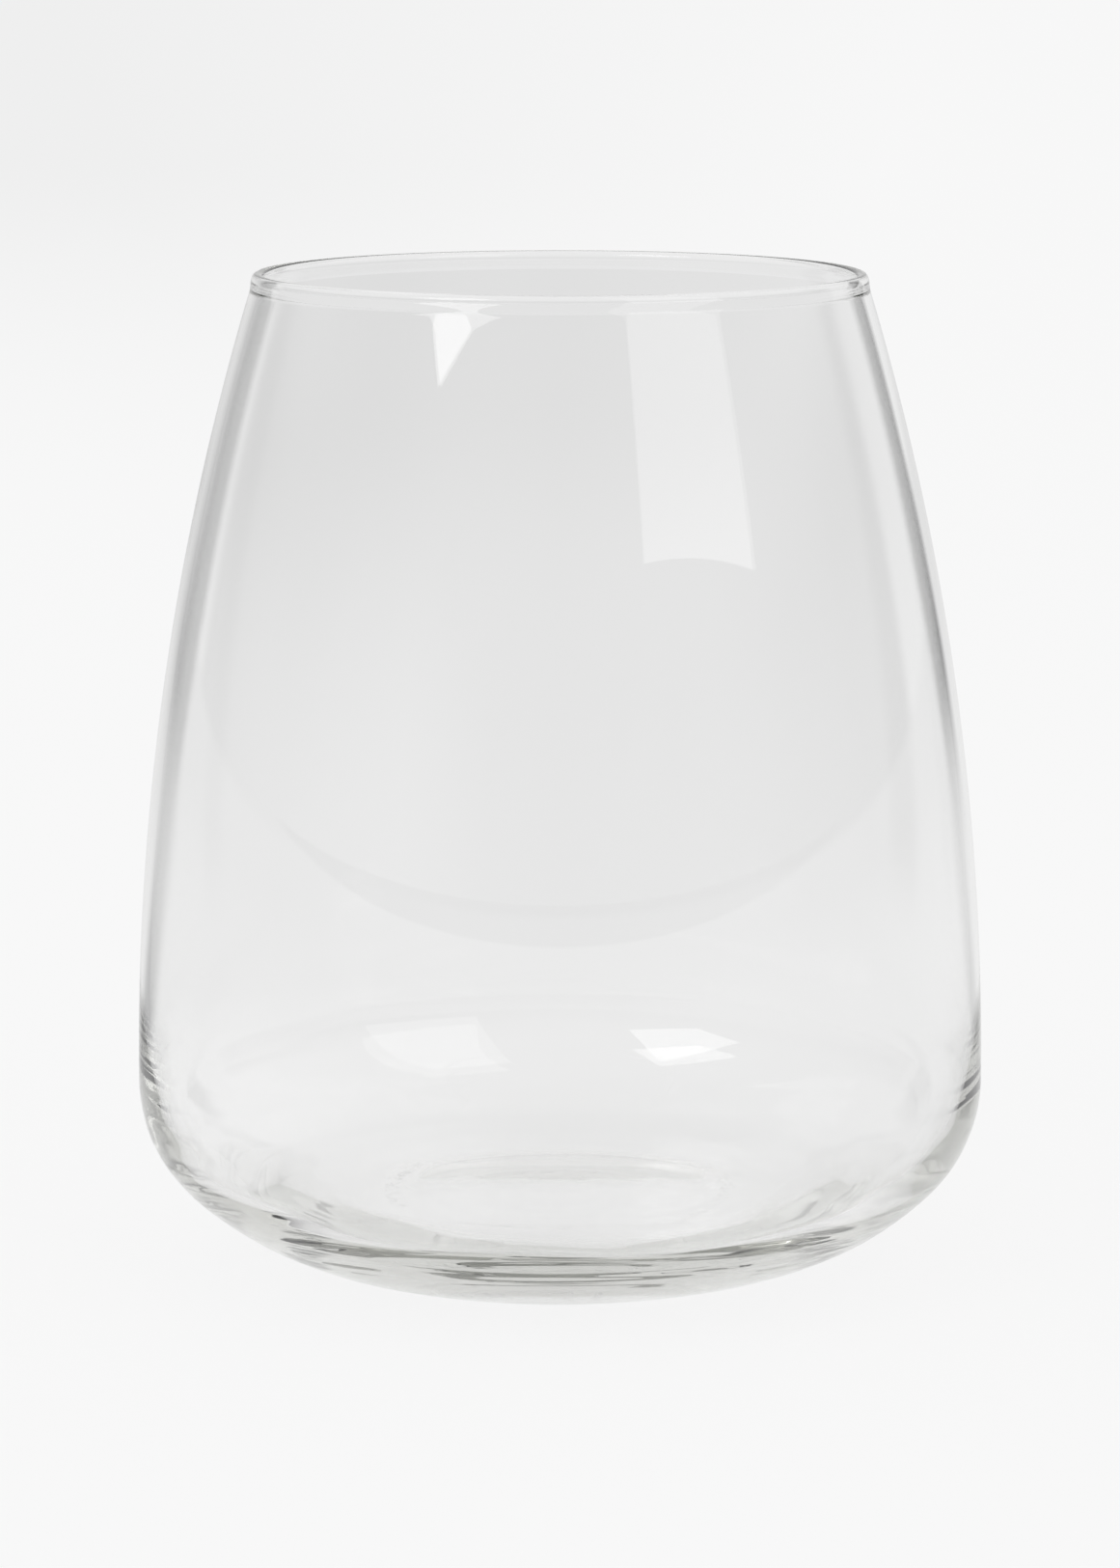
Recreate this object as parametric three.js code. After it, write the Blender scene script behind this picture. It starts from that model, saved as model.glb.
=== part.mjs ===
// A stemless drinking tumbler of clear glass, blown in one piece.
// The curved wall widens downwards to a round shoulder. The base is heavy, stands on a
// narrow flat ring round a shallow push-up, and the rim is a fire-polished bead.
// Units are millimetres, +Z is up, and the origin is the centre of the standing ring.
import * as THREE from 'three';

// Outside
const HEIGHT = 106.4;             // table to the top of the rim
const WIDEST_DIAMETER = 91;       // at the top of the shoulder
const RIM_DIAMETER = 65.3;        // over the bead
const SHOULDER_RADIUS = 15.7;     // curve that starts at the widest line and turns inwards below it
const SHOULDER_SWEEP = 46.8;      // degrees that the shoulder turns before the base curve takes over
const BASE_CURVE_RADIUS = 31;     // flatter curve from the shoulder down to the standing ring

// Rim
const BEAD_THICKNESS = 1.36;      // the rim's round lip
const BEAD_FLARE = 0.18;          // how far the lip stands out from the line of the wall
const BEAD_BLEND = 1.5;           // length below the lip over which the wall grows into it

// Underside
const STANDING_RING_WIDTH = 2;    // flat ring that touches the table
const PUSH_UP_HEIGHT = 0.9;       // hollow under the base, at the axis

// Inside
const WALL_THICKNESS = 1.08;      // the wall above the shoulder
const BASE_THICKNESS = 3.75;      // glass between the push-up and the floor, at the axis
const FLOOR_DISH_RADIUS = 250;    // the floor is slightly dished
const INNER_SHOULDER_RADIUS = 14.5;
const THICKENING_RISE = 10;       // height above the widest line where the wall starts to thicken
const THICKENING_RADIUS = 95;     // gentle curve along which it thickens

// Facets
const FACETS_AROUND = 72;
const STEPS_LONG_ARC = 10;
const STEPS_ROUND_ARC = 8;
const STEPS_FLAT_ARC = 4;
const STEPS_SHORT_ARC = 3;

const FULL_TURN = Math.PI * 2;
const STRAIGHT_DOWN = -Math.PI / 2;

// A circle in the profile plane, where x is the distance from the axis and y is the height
function circle(x, y, radius) {
  return { centre: new THREE.Vector2(x, y), radius };
}

function pointOn(round, angle) {
  const { centre, radius } = round;
  return new THREE.Vector2(centre.x + radius * Math.cos(angle), centre.y + radius * Math.sin(angle));
}

function angleAtHeight(round, height) {
  return Math.asin((height - round.centre.y) / round.radius);
}

function angleTowards(round, point) {
  return Math.atan2(point.y - round.centre.y, point.x - round.centre.x);
}

function arc(round, startAngle, endAngle, steps) {
  const { centre, radius } = round;
  const clockwise = endAngle < startAngle;
  const curve = new THREE.EllipseCurve(centre.x, centre.y, radius, radius, startAngle, endAngle, clockwise);
  return curve.getPoints(steps);
}

// The circle of a given radius that rolls inside two larger circles and touches both,
// on the side that is lower and further from the axis
function filletInside(first, second, radius) {
  const reachFirst = first.radius - radius;
  const reachSecond = second.radius - radius;
  const between = second.centre.clone().sub(first.centre);
  const distance = between.length();
  const along = (reachFirst ** 2 - reachSecond ** 2 + distance ** 2) / (2 * distance);
  const aside = Math.sqrt(reachFirst ** 2 - along ** 2);
  const direction = between.divideScalar(distance);
  const x = first.centre.x + direction.x * along - direction.y * aside;
  const y = first.centre.y + direction.y * along + direction.x * aside;
  return circle(x, y, radius);
}

// Outside curves: the base curve runs into the shoulder, and the shoulder into the wall, all tangent
const widestRadius = WIDEST_DIAMETER / 2;
const shoulderTurn = THREE.MathUtils.degToRad(SHOULDER_SWEEP);
const curveStep = BASE_CURVE_RADIUS - SHOULDER_RADIUS;
const widestHeight = BASE_CURVE_RADIUS - curveStep * Math.sin(shoulderTurn);
const shoulder = circle(widestRadius - SHOULDER_RADIUS, widestHeight, SHOULDER_RADIUS);
const standingRadius = shoulder.centre.x - curveStep * Math.cos(shoulderTurn);
const baseCurve = circle(standingRadius, BASE_CURVE_RADIUS, BASE_CURVE_RADIUS);

const beadRadius = BEAD_THICKNESS / 2;
const bead = circle(RIM_DIAMETER / 2 - beadRadius, HEIGHT - beadRadius, beadRadius);
const blendFoot = bead.centre.y - BEAD_BLEND;

// The wall is one long arc, upright at the widest line, that aims at a point just inside the bead
const wallRise = bead.centre.y - widestHeight;
const wallDraw = widestRadius - (RIM_DIAMETER / 2 - BEAD_FLARE);
const wallCurveRadius = (wallRise ** 2 + wallDraw ** 2) / (2 * wallDraw);
const outerWall = circle(widestRadius - wallCurveRadius, widestHeight, wallCurveRadius);

// Inside curves: an even wall, a gentle thickening, a round shoulder and a dished floor, all tangent
const innerWall = circle(outerWall.centre.x, widestHeight, wallCurveRadius - WALL_THICKNESS);
const thickeningAngle = angleAtHeight(innerWall, widestHeight + THICKENING_RISE);
const thickeningCentre = pointOn(
  circle(innerWall.centre.x, innerWall.centre.y, innerWall.radius - THICKENING_RADIUS),
  thickeningAngle,
);
const thickening = circle(thickeningCentre.x, thickeningCentre.y, THICKENING_RADIUS);
const floorHeight = PUSH_UP_HEIGHT + BASE_THICKNESS;
const floor = circle(0, floorHeight + FLOOR_DISH_RADIUS, FLOOR_DISH_RADIUS);
const innerShoulder = filletInside(floor, thickening, INNER_SHOULDER_RADIUS);
const shoulderTopAngle = angleTowards(thickening, innerShoulder.centre);
const shoulderFootAngle = angleTowards(floor, innerShoulder.centre);

// Underside: the push-up is a shallow dome inside the standing ring
const pushUpRadius = standingRadius - STANDING_RING_WIDTH;
const domeRadius = (pushUpRadius ** 2 + PUSH_UP_HEIGHT ** 2) / (2 * PUSH_UP_HEIGHT);
const dome = circle(0, PUSH_UP_HEIGHT - domeRadius, domeRadius);
const domeTop = Math.PI / 2;
const domeEdge = angleTowards(dome, new THREE.Vector2(pushUpRadius, 0));

function undersideProfile() {
  return [
    ...arc(dome, domeTop, domeEdge, STEPS_FLAT_ARC),
    ...arc(baseCurve, STRAIGHT_DOWN, -shoulderTurn, STEPS_ROUND_ARC),
  ];
}

function outsideProfile() {
  return [
    ...arc(shoulder, -shoulderTurn, 0, STEPS_ROUND_ARC).slice(1),
    ...arc(outerWall, 0, angleAtHeight(outerWall, blendFoot), STEPS_LONG_ARC).slice(1),
  ];
}

function rimProfile() {
  return arc(bead, 0, Math.PI, STEPS_ROUND_ARC);
}

function insideProfile() {
  return [
    ...arc(innerWall, angleAtHeight(innerWall, blendFoot), thickeningAngle, STEPS_LONG_ARC),
    ...arc(thickening, thickeningAngle, shoulderTopAngle, STEPS_SHORT_ARC).slice(1),
    ...arc(innerShoulder, shoulderTopAngle, shoulderFootAngle, STEPS_ROUND_ARC).slice(1),
    ...arc(floor, shoulderFootAngle, STRAIGHT_DOWN, STEPS_FLAT_ARC).slice(1),
  ];
}

// The profile runs from the underside over the rim to the floor. It starts and ends on the axis,
// so those two points are set exactly on it.
function glassProfile() {
  const points = [...undersideProfile(), ...outsideProfile(), ...rimProfile(), ...insideProfile()];
  points[0].x = 0;
  points[points.length - 1].x = 0;
  return points;
}

function makeTumbler() {
  const geometry = new THREE.LatheGeometry(glassProfile(), FACETS_AROUND, 0, FULL_TURN);
  geometry.rotateX(Math.PI / 2);
  const material = new THREE.MeshStandardMaterial({
    color: 0xf0f2ef,
    roughness: 0.03,
    metalness: 0,
    transparent: true,
    opacity: 0.3,
  });
  const mesh = new THREE.Mesh(geometry, material);
  mesh.name = 'tumbler';
  return mesh;
}

const tumbler = new THREE.Group();
tumbler.add(makeTumbler());

export default tumbler;
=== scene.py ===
# A clear glass tumbler on a white table, in soft studio light.
# Lengths are in metres, +Z is up, and the camera looks along +Y.
import math

import bpy
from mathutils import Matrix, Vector
from mathutils import noise


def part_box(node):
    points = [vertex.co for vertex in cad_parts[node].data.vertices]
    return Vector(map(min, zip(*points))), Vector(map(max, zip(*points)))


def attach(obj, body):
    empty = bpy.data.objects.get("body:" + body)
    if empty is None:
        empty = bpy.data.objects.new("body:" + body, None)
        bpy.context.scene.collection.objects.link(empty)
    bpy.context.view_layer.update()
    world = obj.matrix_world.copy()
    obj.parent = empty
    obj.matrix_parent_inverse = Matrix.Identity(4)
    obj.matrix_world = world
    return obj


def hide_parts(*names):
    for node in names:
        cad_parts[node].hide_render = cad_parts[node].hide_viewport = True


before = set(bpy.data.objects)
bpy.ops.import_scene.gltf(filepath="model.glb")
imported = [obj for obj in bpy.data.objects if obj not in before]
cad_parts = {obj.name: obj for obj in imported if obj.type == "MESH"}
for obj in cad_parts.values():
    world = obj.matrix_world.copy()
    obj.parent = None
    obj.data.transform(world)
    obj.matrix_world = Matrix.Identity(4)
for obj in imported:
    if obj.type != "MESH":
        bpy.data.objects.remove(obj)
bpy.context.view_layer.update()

MM = 0.001

# Outside of the glass: the height and the widest radius are the frame's
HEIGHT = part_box("tumbler")[1].z
WIDEST_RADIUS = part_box("tumbler")[1].x
RIM_RADIUS = 32.65 * MM             # over the bead
SHOULDER_RADIUS = 15.7 * MM         # curve that starts at the widest line and turns inwards below it
SHOULDER_TURN = math.radians(46.8)  # how far it turns before the base curve takes over
BASE_CURVE_RADIUS = 31 * MM         # flatter curve down to the standing ring

# Rim
BEAD_RADIUS = 0.68 * MM
BEAD_FLARE = 0.18 * MM              # how far the bead stands out from the line of the wall
BEAD_BLEND = 1.5 * MM               # length below the bead over which the wall grows into it

# Underside
STANDING_RING_WIDTH = 2.0 * MM
PUSH_UP_HEIGHT = 0.9 * MM           # hollow under the base, at the axis

# Inside
WALL_THICKNESS = 1.08 * MM
BASE_THICKNESS = 3.75 * MM          # between the push-up and the floor, at the axis
FLOOR_DISH_RADIUS = 250.0 * MM
INNER_SHOULDER_RADIUS = 14.5 * MM
THICKENING_RISE = 10.0 * MM         # height above the widest line where the wall starts to thicken
THICKENING_RADIUS = 95.0 * MM       # gentle curve along which it thickens

# Worked out from these
CURVE_STEP = BASE_CURVE_RADIUS - SHOULDER_RADIUS
STANDING_RADIUS = WIDEST_RADIUS - SHOULDER_RADIUS - CURVE_STEP * math.cos(SHOULDER_TURN)
FLOOR_HEIGHT = PUSH_UP_HEIGHT + BASE_THICKNESS

# Ripples of blown glass, on the outside of the base and on the floor with its shoulder.
# They lie round the glass, and fade out over some profile points at the ends of each stretch.
RIPPLE_DEPTH = 0.09 * MM
RIPPLE_LENGTH = 4.0 * MM
RIPPLE_SPAN = 22.0 * MM
RIPPLE_FADE = 12

# Faint ring that the mould leaves in the middle of the floor
FLOOR_RING_RADIUS = 7.3 * MM
FLOOR_RING_WIDTH = 1.1 * MM
FLOOR_RING_DEPTH = 0.03 * MM

# Glass
GLASS_IOR = 1.52
GLASS_TINT = (0.86, 0.862, 0.845, 1)
GLASS_TINT_DENSITY = 28.0
LIGHT_BOUNCES = 80

# Scratched standing ring: (radius, share) and (height, share) pairs, then (noise, roughness) pairs
WORN_RING_INSIDE = ((STANDING_RADIUS - 1.6 * MM, 0), (STANDING_RADIUS - 0.9 * MM, 1))
WORN_RING_OUTSIDE = ((STANDING_RADIUS + 0.1 * MM, 1), (STANDING_RADIUS + 0.7 * MM, 0))
WORN_RING_HEIGHT = ((0.2 * MM, 1), (0.4 * MM, 0))
SCRATCH_SCALE = 700
SCRATCH_DETAIL = 4.0
SCRATCH_LEVELS = ((0.45, 0.0), (0.65, 0.35))

# Streaks that wiping leaves down the wall: (height, share) pairs, then (noise, roughness) pairs
STREAK_FOOT = ((30 * MM, 0), (45 * MM, 1))
STREAK_SCALE = (140, 140, 12)
STREAK_DETAIL = 3.0
STREAK_LEVELS = ((0.62, 0.0), (0.75, 0.09))

# Steps of the turned surface
STEPS_AROUND = 256
STEPS_LONG_ARC = 60
STEPS_ROUND_ARC = 32
STEPS_FLAT_ARC = 16
STEPS_FLOOR = 56
STEPS_SHORT_ARC = 8

# Camera
CAMERA_PLACE = (0, -0.6, 0.1511)
CAMERA_DIP = math.radians(9.43)
CAMERA_LENS = 130
CAMERA_SENSOR = 36

# Softboxes: where in the glass they were sighted from, their corners from there as azimuth and
# elevation in degrees, their distance and their level
LEFT_SOFTBOX_SIGHT = (-12 * MM, -33 * MM, 97 * MM)
LEFT_SOFTBOX_CORNERS = ((-135.8, 23.3), (-118, 30.5), (-134, 56), (-157, 30.5))
LEFT_SOFTBOX_DISTANCE = 1.5
LEFT_SOFTBOX_LEVEL = 3.2
RIGHT_SOFTBOX_SIGHT = (14 * MM, -36 * MM, 80 * MM)
RIGHT_SOFTBOX_CORNERS = ((154, 16.2), (117, 12.6), (113, 60), (157, 62))
RIGHT_SOFTBOX_DISTANCE = 1.2
RIGHT_SOFTBOX_LEVEL = 1.55

# Table: half its side, and how far it lies under the standing ring
TABLE_HALF = 20
TABLE_GAP = 0.05 * MM

# Levels of the table and the backdrop that the camera sees, where 1 is white. Far away on the table
# the level goes by azimuth, with painted shade that greys it to the left behind the glass, and takes
# over between these distances.
BACKGROUND_LEVEL = 0.93
BACKDROP_PAINTED_SHADE = [(-180, 0.93), (-60, 0.9), (-6, 0.86), (0, 0.9), (4, 0.93), (180, 0.93)]
BACKDROP_REACH = (0.5, 2.2)

# Levels that the glass sees, by azimuth in degrees, 0 behind it and 90 at its right: under it, close
# to it on the table, further out, far away, and low in the room. On the table these are painted light
# and shade in its glow.
TABLE_UNDER = 0.9
TABLE_NEAR = [(-180, 0.8), (-150, 0.84), (-120, 0.9), (-75, 0.88), (-45, 0.88), (0, 0.84),
              (30, 0.84), (60, 0.84), (90, 0.83), (130, 0.94), (155, 0.9), (180, 0.8)]
# Painted shadows of the dark side cards: the dips at -46 to -38 and 38 to 43 degrees
TABLE_RING = [(-180, 0.84), (-145, 0.84), (-120, 0.88), (-90, 0.85), (-70, 0.86), (-52, 0.84),
              (-46, 0.5), (-38, 0.5), (-32, 0.8), (0, 0.82), (32, 0.84), (38, 0.68), (43, 0.68),
              (47, 0.84), (60, 0.86), (90, 0.76), (110, 0.78), (140, 0.86), (165, 0.84), (180, 0.84)]
# Painted dark bands for the dark side cards: -45 to -34 and 29 to 40 degrees
TABLE_FAR = [(-180, 0.82), (-135, 0.82), (-95, 0.7), (-48, 0.74), (-45, 0.2), (-34, 0.2), (-30, 0.5),
             (-22, 0.7), (-6, 0.71), (0, 0.735), (5, 0.76), (27, 0.76), (29, 0.17), (40, 0.17),
             (42, 0.78), (60, 0.76), (85, 0.5), (108, 0.55), (160, 0.82), (180, 0.82)]
# The table furthest away takes these room levels too, as painted shade
ROOM_LOW = [(-180, 0.42), (-160, 0.42), (-135, 0.72), (-112, 0.72), (-95, 0.6), (-53, 0.52),
            (-50, 0.86), (-47, 0.86), (-45, 0.2), (-34, 0.2), (-30, 0.5), (-20, 0.75), (27, 0.85),
            (29, 0.17), (40, 0.17), (42, 0.88), (58, 0.88), (61, 0.52), (72, 0.38), (85, 0.25),
            (108, 0.25), (132, 0.38), (160, 0.41), (180, 0.42)]

# Distances from the axis over which each of these takes over from the one before
TABLE_STEPS = ((0.012, 0.035), (0.09, 0.15), (0.22, 1.0), (2.5, 5))

# Front edge of the white sheet on the table: (Y, share of the level) pairs
SHEET_EDGE = ((-1.2, 0.5), (-1.1, 1))

# High in the room: (Y of the direction, level) pairs, and the Z of the direction where it takes over
ROOM_HIGH = ((-0.5, 0.70), (0.5, 0.88))
ROOM_CLIMB = (0.14, 0.34)

# Shares of the table's light that take shadows, for the camera and for the glass, and the light on it
CAMERA_SHADOW_SHARE = 0.05
GLASS_SHADOW_SHARE = 0.12
LIGHT_ON_TABLE = 0.75


# Profile geometry: a circle is (centre radius from the axis, centre height, radius)

def point_on(circle, angle):
    x, z, radius = circle
    return (x + radius * math.cos(angle), z + radius * math.sin(angle))


def angle_at_height(circle, height):
    return math.asin((height - circle[1]) / circle[2])


def angle_towards(circle, point):
    return math.atan2(point[1] - circle[1], point[0] - circle[0])


def arc(circle, start, end, steps):
    return [point_on(circle, start + (end - start) * i / steps) for i in range(steps + 1)]


def radius_at_height(circle, height):
    return circle[0] + math.sqrt(circle[2] ** 2 - (height - circle[1]) ** 2)


def blend_to(circle, end, length, steps):
    """The stretch below a point that eases off a circle's line to reach that point."""
    gap = end[0] - radius_at_height(circle, end[1])
    points = []
    for i in range(steps + 1):
        share = i / steps
        height = end[1] - length * (1 - share)
        ease = share * share * (3 - 2 * share)
        points.append((radius_at_height(circle, height) + gap * ease, height))
    return points


def fillet_inside(first, second, radius):
    """The circle that rolls inside two larger ones and touches both, on the low outer side."""
    reach_first = first[2] - radius
    reach_second = second[2] - radius
    across = Vector((second[0] - first[0], second[1] - first[1]))
    distance = across.length
    along = (reach_first ** 2 - reach_second ** 2 + distance ** 2) / (2 * distance)
    aside = math.sqrt(reach_first ** 2 - along ** 2)
    direction = across / distance
    x = first[0] + direction.x * along - direction.y * aside
    z = first[1] + direction.y * along + direction.x * aside
    return (x, z, radius)


def glass_profile():
    """Points (distance from the axis, height) from the underside over the rim to the floor."""
    widest_height = BASE_CURVE_RADIUS - CURVE_STEP * math.sin(SHOULDER_TURN)
    shoulder = (WIDEST_RADIUS - SHOULDER_RADIUS, widest_height, SHOULDER_RADIUS)
    base_curve = (STANDING_RADIUS, BASE_CURVE_RADIUS, BASE_CURVE_RADIUS)

    bead = (RIM_RADIUS - BEAD_RADIUS, HEIGHT - BEAD_RADIUS, BEAD_RADIUS)
    rise = bead[1] - widest_height
    draw = WIDEST_RADIUS - (RIM_RADIUS - BEAD_FLARE)
    wall_radius = (rise ** 2 + draw ** 2) / (2 * draw)
    outer_wall = (WIDEST_RADIUS - wall_radius, widest_height, wall_radius)
    inner_wall = (outer_wall[0], widest_height, wall_radius - WALL_THICKNESS)

    lean = math.asin(rise / wall_radius)
    bead_outside = point_on(bead, lean)
    bead_inside = point_on(bead, lean + math.pi)
    outer_top = angle_at_height(outer_wall, bead_outside[1] - BEAD_BLEND)
    inner_top = angle_at_height(inner_wall, bead_inside[1] - BEAD_BLEND)
    outer_blend = blend_to(outer_wall, bead_outside, BEAD_BLEND, STEPS_FLAT_ARC)
    inner_blend = blend_to(inner_wall, bead_inside, BEAD_BLEND, STEPS_FLAT_ARC)

    thickening_angle = angle_at_height(inner_wall, widest_height + THICKENING_RISE)
    inner_reach = (inner_wall[0], inner_wall[1], inner_wall[2] - THICKENING_RADIUS)
    thickening = (*point_on(inner_reach, thickening_angle), THICKENING_RADIUS)
    floor = (0, FLOOR_HEIGHT + FLOOR_DISH_RADIUS, FLOOR_DISH_RADIUS)
    inner_shoulder = fillet_inside(floor, thickening, INNER_SHOULDER_RADIUS)
    shoulder_top = angle_towards(thickening, inner_shoulder)
    shoulder_foot = angle_towards(floor, inner_shoulder)

    push_up_radius = STANDING_RADIUS - STANDING_RING_WIDTH
    dome_radius = (push_up_radius ** 2 + PUSH_UP_HEIGHT ** 2) / (2 * PUSH_UP_HEIGHT)
    dome = (0, PUSH_UP_HEIGHT - dome_radius, dome_radius)
    dome_edge = angle_towards(dome, (push_up_radius, 0))

    stretches = [
        arc(dome, math.pi / 2, dome_edge, STEPS_FLAT_ARC),
        arc(base_curve, -math.pi / 2, -SHOULDER_TURN, STEPS_ROUND_ARC),
        arc(shoulder, -SHOULDER_TURN, 0, STEPS_ROUND_ARC)[1:],
        arc(outer_wall, 0, outer_top, STEPS_LONG_ARC)[1:],
        outer_blend[1:],
        arc(bead, lean, lean + math.pi, STEPS_ROUND_ARC)[1:],
        inner_blend[-2::-1],
        arc(inner_wall, inner_top, thickening_angle, STEPS_LONG_ARC)[1:],
        arc(thickening, thickening_angle, shoulder_top, STEPS_SHORT_ARC)[1:],
        arc(inner_shoulder, shoulder_top, shoulder_foot, STEPS_ROUND_ARC)[1:],
        arc(floor, shoulder_foot, -math.pi / 2, STEPS_FLOOR)[1:],
    ]
    return [point for stretch in stretches for point in stretch]


def ripple(x, y, along):
    """How far the glass stands off its true curve: waves that lie round it, and the floor's ring."""
    wave = RIPPLE_DEPTH * noise.noise(Vector((x / RIPPLE_SPAN, y / RIPPLE_SPAN, along / RIPPLE_LENGTH)))
    off_ring = (math.hypot(x, y) - FLOOR_RING_RADIUS) / FLOOR_RING_WIDTH
    return wave - FLOOR_RING_DEPTH * math.exp(-off_ring * off_ring)


def ripple_share(i, spans):
    """How much of the ripple a profile point takes: all of it well inside a span, none outside."""
    depths = [min(i - first, last - i) / RIPPLE_FADE for first, last in spans]
    return min(1, max(0, *depths))


def turned_mesh(name, profile, rippled_spans):
    """A closed surface of revolution. The profile's two ends lie on the axis."""
    vertices = [(0, 0, profile[0][1])]
    along = 0
    for i in range(1, len(profile) - 1):
        radius, height = profile[i]
        before, after = profile[i - 1], profile[i + 1]
        along += math.dist(before, profile[i])
        off = Vector((after[1] - before[1], before[0] - after[0])).normalized()
        share = ripple_share(i, rippled_spans)
        for k in range(STEPS_AROUND):
            turn = 2 * math.pi * k / STEPS_AROUND
            lift = 0
            if share > 0:
                lift = share * ripple(radius * math.cos(turn), radius * math.sin(turn), along)
            reach = radius + off.x * lift
            vertices.append((reach * math.cos(turn), reach * math.sin(turn), height + off.y * lift))
    vertices.append((0, 0, profile[-1][1]))
    last = len(vertices) - 1
    top_ring = last - STEPS_AROUND
    faces = []
    for k in range(STEPS_AROUND):
        beside = (k + 1) % STEPS_AROUND
        faces.append((0, 1 + beside, 1 + k))
        for ring in range(1, top_ring, STEPS_AROUND):
            above = ring + STEPS_AROUND
            faces.append((ring + k, ring + beside, above + beside, above + k))
        faces.append((top_ring + k, top_ring + beside, last))
    mesh = bpy.data.meshes.new(name)
    mesh.from_pydata(vertices, [], faces)
    mesh.shade_smooth()
    return mesh


# Node helpers

def add_node(tree, kind, **values):
    """A node whose input sockets take the given plain values, underscores standing for spaces."""
    node = tree.nodes.new(kind)
    for socket, value in values.items():
        node.inputs[socket.replace("_", " ")].default_value = value
    return node


def new_material(name):
    material = bpy.data.materials.new(name)
    material.use_nodes = True
    material.node_tree.nodes.clear()
    return material, material.node_tree


def grey(level):
    return (level, level, level, 1)


def blend_range(tree, value, start, end):
    """A level that runs smoothly between two (value, level) pairs."""
    ramp = add_node(
        tree,
        "ShaderNodeMapRange",
        From_Min=start[0],
        From_Max=end[0],
        To_Min=start[1],
        To_Max=end[1],
    )
    ramp.interpolation_type = "SMOOTHSTEP"
    tree.links.new(value, ramp.inputs["Value"])
    return ramp.outputs["Result"]


def set_or_link(tree, socket, value):
    """Gives a socket a plain number, or links another node's output to it."""
    if isinstance(value, (int, float)):
        socket.default_value = value
    else:
        tree.links.new(value, socket)


def math_node(tree, operation, first, second):
    node = tree.nodes.new("ShaderNodeMath")
    node.operation = operation
    set_or_link(tree, node.inputs[0], first)
    set_or_link(tree, node.inputs[1], second)
    return node.outputs["Value"]


def worn_roughness(tree):
    """Fine scratches on the standing ring, and faint streaks that wiping leaves down the wall."""
    place = add_node(tree, "ShaderNodeTexCoord").outputs["Object"]
    flat = add_node(tree, "ShaderNodeVectorMath")
    flat.operation = "MULTIPLY"
    flat.inputs[1].default_value = (1, 1, 0)
    tree.links.new(place, flat.inputs[0])
    radius = add_node(tree, "ShaderNodeVectorMath")
    radius.operation = "LENGTH"
    tree.links.new(flat.outputs["Vector"], radius.inputs[0])
    split = add_node(tree, "ShaderNodeSeparateXYZ")
    tree.links.new(place, split.inputs["Vector"])

    inside = blend_range(tree, radius.outputs["Value"], *WORN_RING_INSIDE)
    outside = blend_range(tree, radius.outputs["Value"], *WORN_RING_OUTSIDE)
    low = blend_range(tree, split.outputs["Z"], *WORN_RING_HEIGHT)
    scratches = add_node(tree, "ShaderNodeTexNoise", Scale=SCRATCH_SCALE, Detail=SCRATCH_DETAIL)
    tree.links.new(place, scratches.inputs["Vector"])
    scratched = blend_range(tree, scratches.outputs["Fac"], *SCRATCH_LEVELS)
    ring = math_node(tree, "MULTIPLY", math_node(tree, "MULTIPLY", inside, outside), low)
    worn_ring = math_node(tree, "MULTIPLY", ring, scratched)

    stretch = add_node(tree, "ShaderNodeMapping", Scale=STREAK_SCALE)
    tree.links.new(place, stretch.inputs["Vector"])
    streaks = add_node(tree, "ShaderNodeTexNoise", Scale=1.0, Detail=STREAK_DETAIL)
    tree.links.new(stretch.outputs["Vector"], streaks.inputs["Vector"])
    wall = blend_range(tree, split.outputs["Z"], *STREAK_FOOT)
    smeared = blend_range(tree, streaks.outputs["Fac"], *STREAK_LEVELS)
    smears = math_node(tree, "MULTIPLY", wall, smeared)
    return math_node(tree, "ADD", worn_ring, smears)


def clear_glass():
    """Soda-lime glass with a trace of colour where it is thick, and a little worn."""
    material, tree = new_material("clear_glass")
    glass = add_node(
        tree,
        "ShaderNodeBsdfPrincipled",
        Base_Color=grey(1),
        IOR=GLASS_IOR,
        Transmission_Weight=1.0,
    )
    tree.links.new(worn_roughness(tree), glass.inputs["Roughness"])
    tint = add_node(
        tree,
        "ShaderNodeVolumeAbsorption",
        Color=GLASS_TINT,
        Density=GLASS_TINT_DENSITY,
    )
    output = add_node(tree, "ShaderNodeOutputMaterial")
    tree.links.new(glass.outputs["BSDF"], output.inputs["Surface"])
    tree.links.new(tint.outputs["Volume"], output.inputs["Volume"])
    return material


def make_tumbler():
    """The glass, with ripples on the outside of the base and on the floor with its shoulder."""
    profile = glass_profile()
    base_foot = STEPS_FLAT_ARC + 1
    outside = (base_foot, base_foot + 2 * STEPS_ROUND_ARC)
    inside = (len(profile) - STEPS_ROUND_ARC - STEPS_FLOOR, len(profile) + RIPPLE_FADE)
    mesh = turned_mesh("tumbler_glass", profile, (outside, inside))
    mesh.materials.append(clear_glass())
    tumbler = bpy.data.objects.new("tumbler_glass", mesh)
    bpy.context.scene.collection.objects.link(tumbler)
    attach(tumbler, "root")
    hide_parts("tumbler")


# Studio

def towards(azimuth, elevation, distance, origin):
    """The point in a direction: azimuth from +Y towards +X, elevation above the horizon, in degrees."""
    a = math.radians(azimuth)
    e = math.radians(elevation)
    direction = Vector((math.sin(a) * math.cos(e), math.cos(a) * math.cos(e), math.sin(e)))
    return Vector(origin) + direction * distance


def emitter(name, level):
    material, tree = new_material(name)
    glow = add_node(tree, "ShaderNodeEmission", Color=grey(1), Strength=level)
    output = add_node(tree, "ShaderNodeOutputMaterial")
    tree.links.new(glow.outputs["Emission"], output.inputs["Surface"])
    return material


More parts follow.
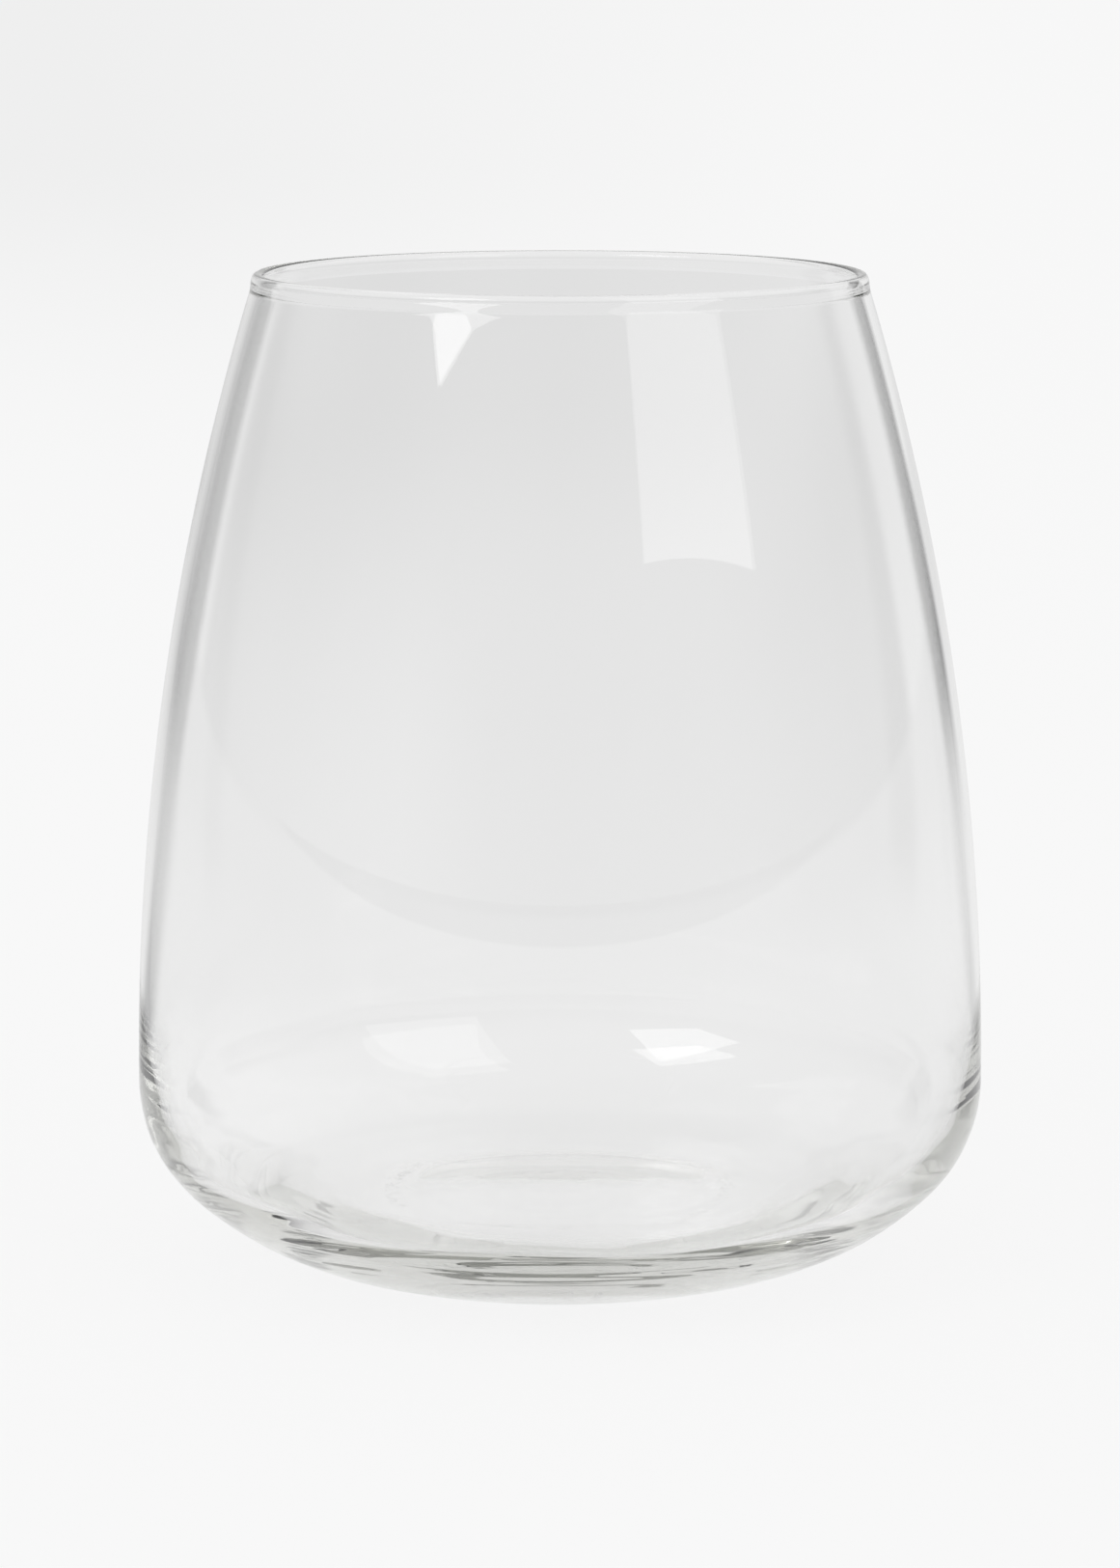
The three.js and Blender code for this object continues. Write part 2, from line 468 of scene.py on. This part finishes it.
def stage_panel(name, corners, material):
    """A flat four-cornered panel of the studio, which only reflections and light see."""
    mesh = bpy.data.meshes.new(name)
    mesh.from_pydata(corners, [], [(0, 1, 2, 3)])
    mesh.materials.append(material)
    panel = bpy.data.objects.new(name, mesh)
    bpy.context.scene.collection.objects.link(panel)
    panel.visible_camera = False
    return panel


def make_softbox(name, sight, corners, distance, level):
    places = [towards(azimuth, elevation, distance, sight) for azimuth, elevation in corners]
    stage_panel(name, places, emitter(name, level))


def make_softboxes():
    make_softbox(
        "left_softbox",
        LEFT_SOFTBOX_SIGHT,
        LEFT_SOFTBOX_CORNERS,
        LEFT_SOFTBOX_DISTANCE,
        LEFT_SOFTBOX_LEVEL,
    )
    make_softbox(
        "right_softbox",
        RIGHT_SOFTBOX_SIGHT,
        RIGHT_SOFTBOX_CORNERS,
        RIGHT_SOFTBOX_DISTANCE,
        RIGHT_SOFTBOX_LEVEL,
    )


def camera_switch(tree, camera_shader, other_shader):
    """A shader that the camera sees as one thing and the glass and the light as another."""
    path = add_node(tree, "ShaderNodeLightPath")
    mix = add_node(tree, "ShaderNodeMixShader")
    tree.links.new(path.outputs["Is Camera Ray"], mix.inputs["Fac"])
    tree.links.new(other_shader, mix.inputs[1])
    tree.links.new(camera_shader, mix.inputs[2])
    return mix.outputs["Shader"]


def mixed_range(tree, value, low, high, limits):
    """Runs from one level to another, plain or linked, while the value crosses the limits."""
    ramp = add_node(tree, "ShaderNodeMapRange", From_Min=limits[0], From_Max=limits[1])
    ramp.interpolation_type = "SMOOTHSTEP"
    tree.links.new(value, ramp.inputs["Value"])
    set_or_link(tree, ramp.inputs["To Min"], low)
    set_or_link(tree, ramp.inputs["To Max"], high)
    return ramp.outputs["Result"]


def level_round(tree, azimuth, levels):
    """A level that changes with the azimuth, from (degrees, level) pairs in order."""
    turn = add_node(tree, "ShaderNodeMapRange", From_Min=-math.pi, From_Max=math.pi)
    tree.links.new(azimuth, turn.inputs["Value"])
    ramp = tree.nodes.new("ShaderNodeValToRGB")
    stops = ramp.color_ramp.elements
    while len(stops) < len(levels):
        stops.new(1)
    for stop, (degrees, level) in zip(stops, levels):
        stop.position = (degrees + 180) / 360
        stop.color = grey(level)
    tree.links.new(turn.outputs["Result"], ramp.inputs["Fac"])
    return ramp.outputs["Color"]


def azimuth_of(tree, direction):
    split = add_node(tree, "ShaderNodeSeparateXYZ")
    tree.links.new(direction, split.inputs["Vector"])
    return math_node(tree, "ARCTAN2", split.outputs["X"], split.outputs["Y"]), split


def room_level(tree, direction):
    """How light the room is in a direction: it changes round the glass, and less so higher up."""
    azimuth, split = azimuth_of(tree, direction)
    low = level_round(tree, azimuth, ROOM_LOW)
    high = blend_range(tree, split.outputs["Y"], *ROOM_HIGH)
    return mixed_range(tree, split.outputs["Z"], low, high, ROOM_CLIMB)


def make_world():
    world = bpy.data.worlds.new("studio")
    bpy.context.scene.world = world
    world.use_nodes = True
    tree = world.node_tree
    tree.nodes.clear()
    backdrop = add_node(tree, "ShaderNodeBackground", Color=grey(1), Strength=BACKGROUND_LEVEL)
    direction = add_node(tree, "ShaderNodeTexCoord")
    room = add_node(tree, "ShaderNodeBackground", Color=grey(1))
    tree.links.new(room_level(tree, direction.outputs["Generated"]), room.inputs["Strength"])
    output = add_node(tree, "ShaderNodeOutputWorld")
    seen = camera_switch(tree, backdrop.outputs["Background"], room.outputs["Background"])
    tree.links.new(seen, output.inputs["Surface"])


def white_surface(tree, level, shadow_share):
    """White at a plain level, of which a share is lit by the room and so takes shadows."""
    glow = add_node(tree, "ShaderNodeEmission", Color=grey(1))
    glowing = math_node(tree, "MULTIPLY", level, 1 - shadow_share)
    tree.links.new(glowing, glow.inputs["Strength"])
    lit = add_node(tree, "ShaderNodeBsdfDiffuse")
    shadowed = math_node(tree, "MULTIPLY", level, shadow_share / LIGHT_ON_TABLE)
    tree.links.new(shadowed, lit.inputs["Color"])
    both = add_node(tree, "ShaderNodeAddShader")
    tree.links.new(glow.outputs["Emission"], both.inputs[0])
    tree.links.new(lit.outputs["BSDF"], both.inputs[1])
    return both.outputs["Shader"]


def table_level(tree, azimuth, distance, depth):
    """How light the table is round the glass, as painted light and shade. The white sheet on it ends in
    front of the glass.
    """
    level = TABLE_UNDER
    for levels, limits in zip((TABLE_NEAR, TABLE_RING, TABLE_FAR, ROOM_LOW), TABLE_STEPS):
        level = mixed_range(tree, distance, level, level_round(tree, azimuth, levels), limits)
    return math_node(tree, "MULTIPLY", level, blend_range(tree, depth, *SHEET_EDGE))


def table_material():
    """The camera sees a white table, with painted shade far away on the left. The glass sees painted
    studio shading.
    """
    material, tree = new_material("table_top")
    place = add_node(tree, "ShaderNodeNewGeometry").outputs["Position"]
    length = add_node(tree, "ShaderNodeVectorMath")
    length.operation = "LENGTH"
    tree.links.new(place, length.inputs[0])
    distance = length.outputs["Value"]
    azimuth, split = azimuth_of(tree, place)
    # Painted shade: the far table greys towards the left behind the glass
    backdrop = level_round(tree, azimuth, BACKDROP_PAINTED_SHADE)
    plain = mixed_range(tree, distance, BACKGROUND_LEVEL, backdrop, BACKDROP_REACH)
    # Painted studio shading that the glass sees on the table, with painted shadows of the side cards
    shaded = table_level(tree, azimuth, distance, split.outputs["Y"])
    for_camera = white_surface(tree, plain, CAMERA_SHADOW_SHARE)
    for_glass = white_surface(tree, shaded, GLASS_SHADOW_SHARE)
    output = add_node(tree, "ShaderNodeOutputMaterial")
    tree.links.new(camera_switch(tree, for_camera, for_glass), output.inputs["Surface"])
    return material


def make_table():
    h = TABLE_HALF
    corners = [(-h, -h, 0), (h, -h, 0), (h, h, 0), (-h, h, 0)]
    table = stage_panel("table_top", corners, table_material())
    table.visible_camera = True
    table.location.z = -TABLE_GAP


def make_camera():
    data = bpy.data.cameras.new("camera")
    data.sensor_width = CAMERA_SENSOR
    data.lens = CAMERA_LENS
    camera = bpy.data.objects.new("camera", data)
    bpy.context.scene.collection.objects.link(camera)
    camera.location = CAMERA_PLACE
    camera.rotation_euler = (math.pi / 2 - CAMERA_DIP, 0, 0)
    bpy.context.scene.camera = camera


def let_light_through():
    """Enough bounces for light that runs along inside the wall and the base."""
    cycles = bpy.context.scene.cycles
    cycles.max_bounces = LIGHT_BOUNCES
    cycles.glossy_bounces = LIGHT_BOUNCES
    cycles.transmission_bounces = LIGHT_BOUNCES


bpy.context.scene.view_settings.view_transform = "Standard"
let_light_through()
make_camera()
make_tumbler()
make_table()
make_softboxes()
make_world()
